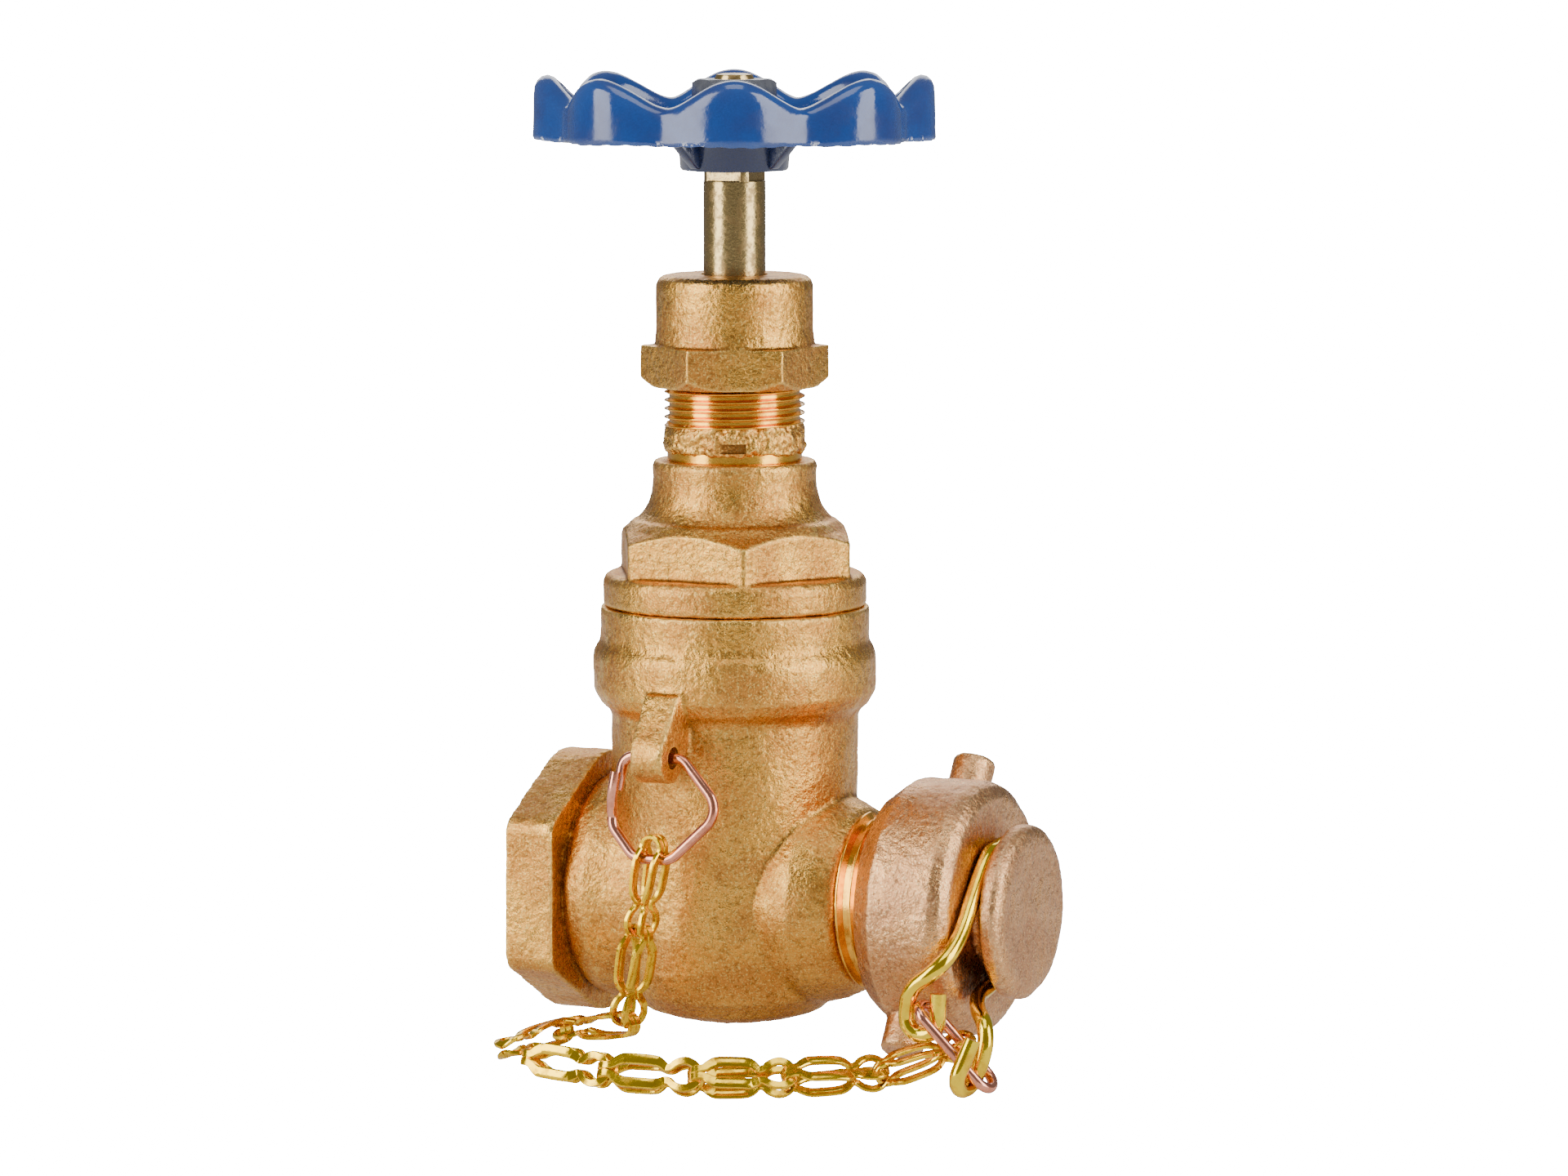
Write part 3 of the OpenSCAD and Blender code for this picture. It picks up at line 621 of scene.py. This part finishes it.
# ---------- handwheel ----------
def make_handwheel():
    section = [(4.3, 3.8), (8.3, 3.8), (8.7, 3.4), (9.2, 2.9), (16, 2.6), (20.5, 2.4), (22.6, 2.7),
               (24.2, 3.6), (25.2, 5), (25.7, 6.6), (26, 7.9), (26.5, 8.9), (27.2, 9.5), (28.1, 9.8),
               (29, 9.6), (29.7, 9.0), (30.15, 8), (30.25, 6.6), (30.3, 4), (30.35, 1.4), (30.42, 0.5),
               (30.2, 0.05), (29.4, 0), (28.2, 0.5), (26.5, 1.1), (22, 1.2), (12, 0.8), (8.8, 0.5),
               (8.5, -0.4), (8.2, -4.2), (7.9, -4.6), (4.3, -4.6)]
    dish_r, wall_r, pinch = 20.5, 26, 2.5
    dip_height, lobe_height, lip_height = 5.6, 9.8, 0.6
    wheel = turned("wheel", section, steps=288, closed=True, place=Vector((0, 0, 0)))
    for vert in wheel.data.vertices:
        radius, height = math.hypot(vert.co.x, vert.co.y) / MM, vert.co.z / MM
        angle = math.atan2(vert.co.y, vert.co.x)
        lobe = (1 + math.cos(LOBES * angle)) / 2
        reach = min(1, max(0, (radius - dish_r) / (wall_r - dish_r)))
        ease = reach * reach * (3 - 2 * reach)
        tall = 1 - ease * (1 - (dip_height + (lobe_height - dip_height) * lobe ** 0.85) / lobe_height)
        inward = ease * pinch * (1 - lobe ** 0.8)
        at_lip = height < lip_height and radius > 29
        burr = 0.16 * math.sin(angle * 37) * math.sin(angle * 23 + 1) if at_lip else 0
        new_radius = radius - inward
        vert.co = Vector((math.cos(angle) * new_radius, math.sin(angle) * new_radius,
                          height * tall if height > lip_height else height + burr)) * MM
    ribs = []
    for i in range(4):
        rib = drawn("rib", [(7.6, -4.2), (8.6, -4.2), (14.2, 1), (7.6, 1)], closed=True)
        edit(rib)
        bpy.ops.mesh.edge_face_add()
        bpy.ops.mesh.extrude_region_move(TRANSFORM_OT_translate={"value": (0, 1.9 * MM, 0)})
        done()
        for vert in rib.data.vertices:
            vert.co.y -= 0.95 * MM
        rib.rotation_euler = (0, 0, math.pi / 4 + i * math.pi / 2)
        outward(settle(rib, "rib_%d" % i))
        ribs.append(modify(rib, "BEVEL", width=0.3 * MM, segments=2, limit_method="ANGLE"))
    wheel = join(wheel, *ribs)
    wheel.rotation_euler = (0, 0, WHEEL_TURN)
    wheel.location = Vector((STEM_X, 0, RIM_Z)) * MM
    settle(wheel, "enamelled_wheel")
    uneven(wheel, 3.5, 0.14)
    return smooth(wheel, 50)


place(make_handwheel(), "wheel_and_stem", "blue_enamel", ENAMEL, "handwheel")

washer = turned("plated_washer", [(3.2, 118.22), (6.7, 118.22), (6.9, 118.4), (6.9, 118.95), (6.7, 119.12),
                                  (3.2, 119.12)], closed=True)
place(smooth(washer), "wheel_and_stem", "zinc_plate", ZINC, "wheel_washer")


def make_nut():
    nut = prism("nut", 6, 11.1 / 2 * HEX_CORNER, 4.4, (STEM_X, 0, 121.35), turn=WHEEL_TURN)
    limit = turned("nut_bevel", [(0, 119.1), (5.9, 119.1), (6.5, 119.6), (6.5, 122.9), (5.5, 123.6),
                                 (0, 123.6)])
    combine(nut, limit, "INTERSECT")
    combine(nut, turned("nut_hole", [(0, 118), (3.1, 118), (3.1, 123), (3.4, 124), (0, 124)]), "DIFFERENCE")
    modify(nut, "BEVEL", width=0.12 * MM, segments=2, limit_method="ANGLE", angle_limit=math.radians(25))
    return smooth(settle(nut, "plated_nut"), 30)


place(make_nut(), "wheel_and_stem", "zinc_plate", ZINC, "wheel_nut")


# ---------- hose cap ----------
def make_cap():
    x = STEM_X
    shell = turned("shell", [(x + 27.4, 0), (x + 27.4, 16.5), (x + 31, 19.2), (x + 40.6, 19.2),
                             (x + 42.2, 18.5), (x + 43.2, 17), (x + 43.2, 8.6), (x + 46.1, 8.6),
                             (x + 46.1, 12.5), (x + 46.8, 13.1), (x + 48.3, 13.1), (x + 49.2, 12.4),
                             (x + 49.6, 11), (x + 49.6, 0)], axis="X")
    pins = []
    for side in (0, math.pi):
        pin = prism("pin", 32, 3.25, 24.4, (0, 0, 12.2), bevel=0.5)
        pin.rotation_euler = (side - math.radians(34), 0, 0)
        pin.location = Vector((x + 34, 0, 0)) * MM
        pins.append(settle(pin, "pin"))
    core = turned("cap_core", [(x + 26, 0), (x + 26, 13.7), (x + 38, 13.7), (x + 38, 0)], axis="X")
    return cast("cap_casting", [shell] + pins, 0.36, 3, ((4.5, 0.34), (1.2, 0.16)), (core,))


place(make_cap(), "cap", "cast_bronze", CAP_BRONZE, "hose_cap")


# ---------- clip and rings ----------
def hook(a, down, across, r, tail):
    a, down, across = Vector(a), Vector(down).normalized(), Vector(across).normalized()
    angles = [math.pi * i / 8 for i in range(9)]
    bend = [a + r * across * (1 - math.cos(t)) + r * down * math.sin(t) for t in angles]
    return bend + [a + 2 * r * across - down * tail * 0.5, a + 2 * r * across - down * tail]


def make_clip():
    x = STEM_X
    groove = x + 44.65
    clip_r = 9.97
    first_angle = 15
    step_angle = 9.2
    angles = [math.radians(first_angle - step_angle * i) for i in range(21)]
    turn = [(groove, -clip_r * math.sin(a), clip_r * math.cos(a)) for a in angles]
    left = [(groove, -5, 9.3), (groove, -8, 7), (groove, -11.8, 3), (groove, -15.2, -0.8),
            (x + 44.4, -18.4, -3.4), (x + 43.5, -20.5, -5.2), (x + 41.9, -21.4, -6.8),
            (x + 40.1, -21.5, -8.2), (x + 38.9, -21.3, -9.9), (x + 38.4, -21, -11.6)]
    right = [(groove, -2.6, -10.1), (groove, -5.8, -10.8), (groove + 0.1, -9, -11.5),
             (x + 45.8, -12, -12.2), (x + 47.4, -15, -12.9), (x + 49.2, -17.3, -14),
             (x + 50, -18.6, -16.2), (x + 49.7, -19.1, -18.8)]
    down = Vector((-0.3, -0.25, -0.92)).normalized()
    toward = down.cross(Vector((-0.2, -1, 0)).cross(down))
    left_hook = hook((x + 38.3, -20.9, -13.2), (0, -0.06, -1), (1, 0, 0), 2.5, 3.8)
    right_hook = hook((x + 48.9, -19.55, -21.4), down, toward, 2.5, 5)
    return wire("brass_clip", through(left_hook[::-1] + left[::-1] + turn + right + right_hook, fine=4),
                2.5)


place(make_clip(), "clip", "brass_wire", WIRE_BRASS, "cap_clip")


def rounded(corners, steps=7):
    """A closed outline with each corner (x, z, radius) rounded."""
    points = []
    count = len(corners)
    for i, (x, z, r) in enumerate(corners):
        c = Vector((x, z))
        a = (Vector(corners[i - 1][:2]) - c).normalized()
        b = (Vector(corners[(i + 1) % count][:2]) - c).normalized()
        half = math.acos(max(-1, min(1, a.dot(b)))) / 2
        middle = c + (a + b).normalized() * r / math.sin(half)
        first, last = c + a * r / math.tan(half) - middle, c + b * r / math.tan(half) - middle
        sweep = math.pi - 2 * half
        for k in range(steps + 1):
            t = k / steps
            reach = math.sin(sweep * (1 - t)) * first + math.sin(sweep * t) * last
            points.append(middle + reach / math.sin(sweep))
    return points


def make_body_ring():
    """Bent wire whose two ends lie side by side at the left."""
    outline = rounded([(-5.4, 0, 2), (4.4, 0, 2.6), (11.4, -7.4, 3.4), (3.4, -15.2, 3.2), (-2.6, -15.2, 3),
                       (-6.8, -10.5, 3)])
    flat = [(-6.05, -5.2, 0), (-5.85, -3.6, 0)] + [(x, z, 0) for x, z in outline]
    flat += [(-6.6, -8.4, -0.5), (-6.25, -6.6, -1.4), (-6, -4.8, -1.75), (-5.75, -2.6, -1.75)]
    tilt = math.radians(-9)
    lug_x, lug_y, lug_z = LUG_EYE
    points = [(lug_x + x, lug_y + y * math.cos(tilt) - z * math.sin(tilt),
               lug_z + z * math.cos(tilt) + y * math.sin(tilt)) for x, z, y in flat]
    return wire("bent_body_ring", points, 1.6)


place(make_body_ring(), "body_ring", "copper_wire", COPPER, "body_ring")

RING_START = Vector((70.2, -21.3, -11.3))
RING_ALONG = Vector((9.4, 2.2, -10.6)).normalized()
RING_ACROSS = (Vector((0, 1, 0)) - RING_ALONG[1] * RING_ALONG).normalized()


def make_cap_ring():
    outline = rounded([(0, -2.4, 2.2), (0, 2.4, 2.2), (15.8, 2.4, 2.2), (15.8, -2.4, 2.2)])
    points = [RING_START + a * RING_ALONG + b * RING_ACROSS for a, b in outline]
    return wire("bent_cap_ring", points, 1.6, closed=True)


place(make_cap_ring(), "cap_ring", "copper_wire", COPPER, "cap_ring")


# ---------- chain ----------
PITCH = 13.8
LEAF_Z = 1.55
EYE_X = PITCH - 2.2
RING_REACH = PITCH - 1.6


def link_rail(side):
    """One edge of a link: from the eye's end along a leaf, round the fold and back along the other leaf."""
    leaf = [(EYE_X + 2.15, 0.0, 0.62), (EYE_X + 1.9, 0.95, 0.85), (EYE_X + 1.2, 1.75, 1.1),
            (EYE_X, 2.1, 1.22), (EYE_X - 1.3, 1.75, 1.1), (EYE_X - 2.2, 1.05, 0.85),
            (EYE_X - 3, 1.0, 0.62), (8.0, 1.4, 0.9), (7.2, 1.74, 1.2), (6, 1.8, 1.42), (4, 1.8, 1.52),
            (2.4, 1.74, LEAF_Z), (1.4, 1.3, LEAF_Z), (0.7, 0.8, LEAF_Z), (0, 0.6, LEAF_Z)]
    bends = [math.pi * k / 8 for k in range(1, 8)]
    fold = [(-LEAF_Z * math.sin(a), 0.6, LEAF_Z * math.cos(a)) for a in bends]
    way = leaf + fold + [(x, y, -z) for x, y, z in leaf[::-1]]
    return [Vector((x, side * y, z)) for x, y, z in through(way, fine=3)]


def strip_mesh(name, path, thick):
    """A flat strip swept along a path, widest along the straight part of the leaf."""
    verts, faces = [], []
    count = len(path)
    for i, p in enumerate(path):
        ahead = (path[min(i + 1, count - 1)] - path[max(i - 1, 0)]).normalized()
        across_leaf = Vector((0, 1, 0))
        slope = Vector((ahead.x, 0, ahead.z))
        if slope.length > 0.2:
            out = slope.cross(across_leaf).normalized()
        wide = ahead.cross(out).normalized()
        full = max(0, min(1, (p.x - 0.4) / 1.6, (8.8 - p.x) / 1.4))
        width = 1.2 + 0.45 * full
        for u, v in ((-1, -0.6), (-0.75, -1), (0.75, -1), (1, -0.6), (1, 0.6), (0.75, 1), (-0.75, 1),
                     (-1, 0.6)):
            verts.append((p + wide * u * width / 2 + out * v * thick / 2) * MM)
    for i in range(count - 1):
        for k in range(8):
            m = (k + 1) % 8
            faces.append((i * 8 + k, i * 8 + m, (i + 1) * 8 + m, (i + 1) * 8 + k))
    faces += [tuple(range(8)), tuple(range(count * 8 - 1, count * 8 - 9, -1))]
    data = bpy.data.meshes.new(name)
    data.from_pydata([tuple(v) for v in verts], [], faces)
    piece = bpy.data.objects.new(name, data)
    bpy.context.collection.objects.link(piece)
    return piece


def make_link():
    rails = [strip_mesh("rail", link_rail(side), 0.72) for side in (-1, 1)]
    link = join(*rails)
    return smooth(outward(settle(link, "link_pattern"), 1e-7), 35)


def heading(az, el):
    az, el = math.radians(az), math.radians(el)
    return Vector((math.cos(el) * math.cos(az), math.cos(el) * math.sin(az), math.sin(el)))


HANG = [(183, -80, 8), (180, -81, 16), (166, -9, 0), (260, -3, 16)]
RUN = [(33, 18, 10), (37, 1, 30), (26, 0, 47), (11, -1, 63), (-8, -2, 76)]
hang_at = [Vector((28.9, -26.4, 10.3))]
for pose in HANG[:2]:
    hang_at.append(hang_at[-1] + PITCH * heading(*pose[:2]))
hang_at.append(hang_at[2] + EYE_X * heading(*HANG[2][:2]) + 2.15 * heading(*HANG[3][:2]))
run_at = [RING_START + 8.6 * RING_ALONG + 2.4 * RING_ACROSS - RING_REACH * heading(*RUN[0][:2])]
for pose in RUN[1:]:
    run_at.append(run_at[-1] - PITCH * heading(*pose[:2]))

pattern = make_link()
for number, spot, pose in ([(1 + i, hang_at[i], HANG[i]) for i in range(4)]
                           + [(9 - i, run_at[i], RUN[i]) for i in range(5)]):
    az, el, roll = (math.radians(a) for a in pose)
    link = pattern.copy()
    link.data = pattern.data.copy()
    bpy.context.collection.objects.link(link)
    placed = Matrix.Translation(spot * MM) @ Matrix.Rotation(az, 4, "Z")
    link.matrix_world = placed @ Matrix.Rotation(-el, 4, "Y") @ Matrix.Rotation(roll, 4, "X")
    settle(link, "sash_link_%d" % number)
    place(link, "link_%d" % number, "brass_strip", CHAIN_BRASS, "chain_link_%d" % number)
bpy.data.objects.remove(pattern, do_unlink=True)

# ---------- CAD pieces that stay ----------
for node, finish in (("packing_gland", TURNED), ("packing_rings", CORD), ("gate_wedge", BRONZE),
                     ("cap_gasket", RUBBER)):
    coat(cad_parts[node], finish)


# ---------- stage, light and camera ----------
CAMERA_AZIMUTH = 26
FLOOR_GLOW = 30.0


def make_stage():
    deselect()
    low = min(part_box(node)[0][2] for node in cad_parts)
    bpy.ops.mesh.primitive_plane_add(size=40, location=(0, 0, low - 0.0006))
    floor = settle(bpy.context.object, "studio_floor")
    paper, tree, shader = start("white_paper", 0.0, Roughness=0.9, Base_Color=(0.8, 0.8, 0.8, 1),
                                Emission_Color=(1, 1, 1, 1))
    path = add(tree, "ShaderNodeLightPath")
    tree.links.new(maths(tree, "MULTIPLY", path.outputs["Is Camera Ray"], FLOOR_GLOW),
                   shader.inputs["Emission Strength"])
    coat(floor, paper)


def soft_box(name, spot, target, size, power):
    light = bpy.data.lights.new(name, "AREA")
    light.shape = "RECTANGLE"
    light.size, light.size_y = size
    light.energy = power
    lamp = bpy.data.objects.new(name, light)
    bpy.context.collection.objects.link(lamp)
    lamp.location = spot
    lamp.rotation_euler = (Vector(target) - Vector(spot)).to_track_quat("-Z", "Y").to_euler()


def around_object(azimuth, distance, height):
    a = math.radians(CAMERA_AZIMUTH + azimuth)
    return Vector((STEM_X * MM + distance * math.sin(a), -distance * math.cos(a), height))


make_stage()
MIDDLE = (STEM_X * MM, 0, 0.045)
soft_box("left_box", around_object(-62, 0.7, 0.25), MIDDLE, (0.4, 0.8), 6.4)
soft_box("right_box", around_object(62, 0.7, 0.25), MIDDLE, (0.4, 0.8), 6.2)
soft_box("top_box", around_object(0, 0.25, 0.85), MIDDLE, (0.5, 0.5), 2.0)
soft_box("back_box", around_object(180, 0.8, 0.5), MIDDLE, (0.8, 0.5), 3)

world = bpy.context.scene.world or bpy.data.worlds.new("studio")
bpy.context.scene.world = world
world.use_nodes = True
world.node_tree.nodes["Background"].inputs[0].default_value = (0.95, 0.96, 1, 1)
world.node_tree.nodes["Background"].inputs[1].default_value = 0.24

camera_data = bpy.data.cameras.new("camera")
camera_data.lens = 141.0
camera_data.sensor_width = 36
camera_data.clip_end = 60
camera = bpy.data.objects.new("camera", camera_data)
bpy.context.collection.objects.link(camera)
camera.location = (0.4360, -0.8335, 0.1535)
camera.rotation_euler = (math.radians(90 - 6.591), 0, math.radians(25.537))
bpy.context.scene.camera = camera
